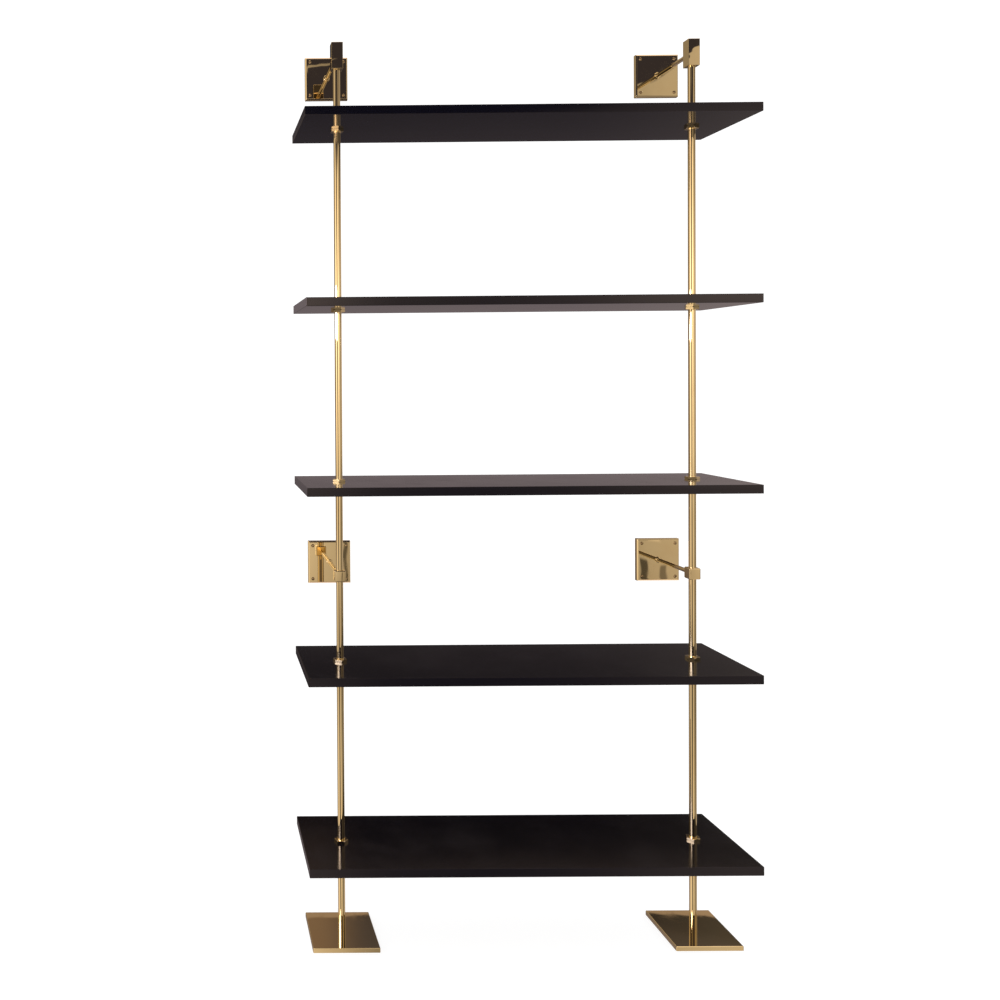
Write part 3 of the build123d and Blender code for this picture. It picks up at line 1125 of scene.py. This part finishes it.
def hang_window(name, energy, size, colour, place):
    """A bright window at the left of the room, seen only where brass or lacquer mirrors it."""
    light = bpy.data.lights.new(name, "AREA")
    light.shape = "RECTANGLE"
    light.size, light.size_y = size
    light.energy = energy
    light.color = colour
    window = bpy.data.objects.new(name, light)
    window.location = between_poles() + Vector(place)
    aim = between_poles()
    aim.z = window.location.z
    window.rotation_euler = (aim - window.location).to_track_quat("-Z", "Y").to_euler()
    window.visible_camera = False
    window.visible_diffuse = False
    window.visible_shadow = False
    bpy.context.scene.collection.objects.link(window)


def panels(wire, value, low, high, stops):
    """Light and dark panels: a ramp through (value, level) stops between two ends."""
    share = wire.node("ShaderNodeMapRange", {"Value": value, "From Min": low, "From Max": high})
    return wire.curve(share.outputs[0],
                      [((place - low) / (high - low), level) for place, level in stops])


def room_in_front(wire, across, rise):
    """Tall warm panels all round under a dark ceiling whose edge slants up on the right.

    Both directions are in degrees: across from straight ahead of the shelf, rise from level.
    """
    round_about = panels(wire, across, -180, 180, [
        (-180, 0.35), (-150, 0.30), (-135, 0.12), (-118, 0.12), (-106, 0.30), (-92, 1.40),
        (-80, 1.60), (-66, 1.50), (-58, 1.20), (-48, 0.80), (-38, 0.30), (-24, 0.14),
        (-14, 0.35), (-6, 2.00), (2, 2.60), (5, 1.35), (8, 0.95), (11, 0.40), (17, 0.28),
        (22, 0.45), (25, 0.80), (30, 1.05), (38, 1.00), (46, 0.60), (58, 0.25), (76, 0.22),
        (90, 0.30), (102, 0.60), (114, 0.20), (135, 0.35), (180, 0.35),
    ])
    up_and_down = panels(wire, rise, -90, 90, [
        (-90, 1.30), (-60, 1.0), (-40, 0.65), (-26, 0.62), (-21, 0.60), (-17, 0.42),
        (-15, 0.42), (-12, 0.56), (-9, 0.62), (-6.5, 0.66), (-4, 0.95), (0, 1.10), (5, 1.50),
        (8, 1.10), (11, 0.80), (14, 0.62), (18, 0.60), (30, 0.6), (45, 0.8), (60, 1.8),
        (90, 2.2),
    ])
    level = wire.times(round_about, up_and_down)
    left_door, tall_door, thin_door = (
        (8.80, 9.02, -14.0, -8.9, -0.75), (24.42, 24.88, -14.0, -9.65, -0.80),
        (25.50, 25.84, -14.0, -9.95, -0.60))
    small_lamp = (24.95, 25.45, -8.75, -8.3, 0.50)
    for start, end, low, top, gain in (left_door, tall_door, thin_door, small_lamp):
        spot = wire.times(wire.window(across, start, end, 0.06), wire.window(rise, low, top, 0.12))
        level = wire.times(level, wire.scaled(spot, gain, 1.0))
    warm, dark = (1.0, 0.82, 0.62), (0.037, 0.031, 0.039)
    gentle, steep, far = (
        wire.scaled(across, *slant) for slant in ((0.27, 8.3), (0.6, -0.07), (0.3, 8.15)))
    lowest_edge, wide_blur, blur_change = 12.3, 1.22, -1.1
    line = wire.math("MINIMUM", wire.math("MAXIMUM", gentle, steep), far)
    line = wire.math("MAXIMUM", line, lowest_edge)
    blur = wire.scaled(wire.step(across, 18.0, 22.0), blur_change, wide_blur)
    over_line = wire.math("DIVIDE", wire.math("SUBTRACT", rise, line), blur)
    beam_sides, beam_foot, beam_gain = (-48.0, -18.0, 3.0), (13.6, 15.0), -0.9
    beam = wire.times(wire.window(across, *beam_sides), wire.step(rise, *beam_foot))
    lamp_sides, lamp_height, lamp_gain = (6.4, 8.4, 0.3), (17.34, 17.50, 0.03), -0.5
    lamp = wire.times(wire.window(rise, *lamp_height), wire.window(across, *lamp_sides))
    ceiling_sides, ceiling_far_edge = (-68.0, 29.5, 2.0), (44.0, 34.0)
    ceiling = wire.times(
        wire.step(over_line, -1.0, 1.0), wire.window(across, *ceiling_sides),
        wire.step(rise, *ceiling_far_edge), wire.scaled(beam, beam_gain, 1.0),
        wire.scaled(lamp, lamp_gain, 1.0),
    )
    return wire.mix(ceiling, wire.tinted(level, warm), dark)


def room_behind(wire, across, rise):
    """Grey near the horizon, brown above and below it, with one paler band high up.

    The corner at the left is paler, so that brass seen from the right has a light side.
    """
    side = wire.math("SUBTRACT", 180.0, wire.math("ABSOLUTE", across))
    level = panels(wire, rise, -90, 90, [
        (-90, 0.90), (-40, 0.40), (-17, 0.05), (-14, 0.07), (-9, 0.14), (-4, 0.21),
        (6, 0.28), (10, 0.16), (15.5, 0.055), (20, 0.025), (24, 0.012), (26.6, 0.02),
        (28, 0.065), (40, 0.15), (60, 0.8), (90, 1.5),
    ])
    rosy, glow_brown, band_tan, flank_tan = (
        (1.0, 0.81, 0.82), (0.25, 0.165, 0.11), (0.33, 0.24, 0.18), (0.42, 0.35, 0.27))
    low_corner, high_corner, top_corner = (
        (0.19, 0.135, 0.095), (0.30, 0.24, 0.17), (0.85, 0.68, 0.50))
    level = wire.tinted(level, rosy)
    glow_share = 0.75
    glow = wire.times(wire.step(side, 10.4, 6.8), wire.step(rise, 24.0, 26.0))
    level = wire.mix(wire.times(glow, glow_share), level, glow_brown)
    band_slope, band_height, band_width = -0.1286, 29.74, 1.6
    band_line = wire.scaled(side, band_slope, band_height)
    band = wire.window(wire.math("SUBTRACT", rise, band_line), -band_width, 0.0, 0.04)
    level = wire.mix(band, level, band_tan)
    flank = wire.tinted(wire.step(side, 20.0, 60.0), flank_tan)
    left = wire.times(wire.step(across, -170.0, -166.0), wire.step(across, 0.0, -1.0),
                      wire.step(rise, -14.0, -6.0))
    corner = wire.mix(wire.step(rise, -10.0, 14.0), low_corner, high_corner)
    high = wire.times(wire.step(rise, 22.0, 28.0), wire.step(across, -146.0, -152.0))
    corner = wire.mix(high, corner, top_corner)
    return wire.mix(left, wire.vector("ADD", level, flank), corner)


def place_camera(stage):
    """The camera that looks at the shelf from the left of its middle."""
    data = bpy.data.cameras.new("camera")
    data.sensor_width = 36.0
    data.lens = stage.lens
    data.shift_x = stage.shift_x
    data.shift_y = stage.shift_y
    camera = bpy.data.objects.new("camera", data)
    camera.location = between_poles() + Vector(stage.camera_place)
    camera.rotation_euler = Euler(stage.camera_turn)
    bpy.context.scene.collection.objects.link(camera)
    bpy.context.scene.camera = camera
    bpy.context.scene.view_settings.view_transform = "Standard"


OPERATORS = (
    SHELF_OT_finishes, SHELF_OT_boards, SHELF_OT_collars, SHELF_OT_poles, SHELF_OT_floor_plates,
    SHELF_OT_blocks, SHELF_OT_brackets, SHELF_OT_wall_screws, SHELF_OT_hidden_fixings,
    SHELF_OT_stage,
)


class SHELF_PT_panel(bpy.types.Panel):
    """Lists the pieces and their sizes in the sidebar."""

    bl_label = "Pole Shelf"
    bl_idname = "SHELF_PT_panel"
    bl_space_type = "VIEW_3D"
    bl_region_type = "UI"
    bl_category = "Pole Shelf"

    def draw(self, context):
        for operator in OPERATORS:
            self.layout.operator(operator.bl_idname)
        shelf = context.scene.pole_shelf
        for group in (shelf.board, shelf.collar, shelf.metal, shelf.stage):
            column = self.layout.box().column()
            for name in group.__annotations__:
                column.prop(group, name)


CLASSES = (
    BoardSettings, CollarSettings, MetalSettings, StageSettings, ShelfSettings, *OPERATORS,
    SHELF_PT_panel,
)


def register():
    for cls in CLASSES:
        bpy.utils.register_class(cls)
    bpy.types.Scene.pole_shelf = PointerProperty(type=ShelfSettings)


def unregister():
    del bpy.types.Scene.pole_shelf
    for cls in reversed(CLASSES):
        bpy.utils.unregister_class(cls)


def main():
    """Build the whole shelf."""
    register()
    for operator in OPERATORS:
        group, name = operator.bl_idname.split(".")
        getattr(getattr(bpy.ops, group), name)()


if __name__ == "__main__":
    main()
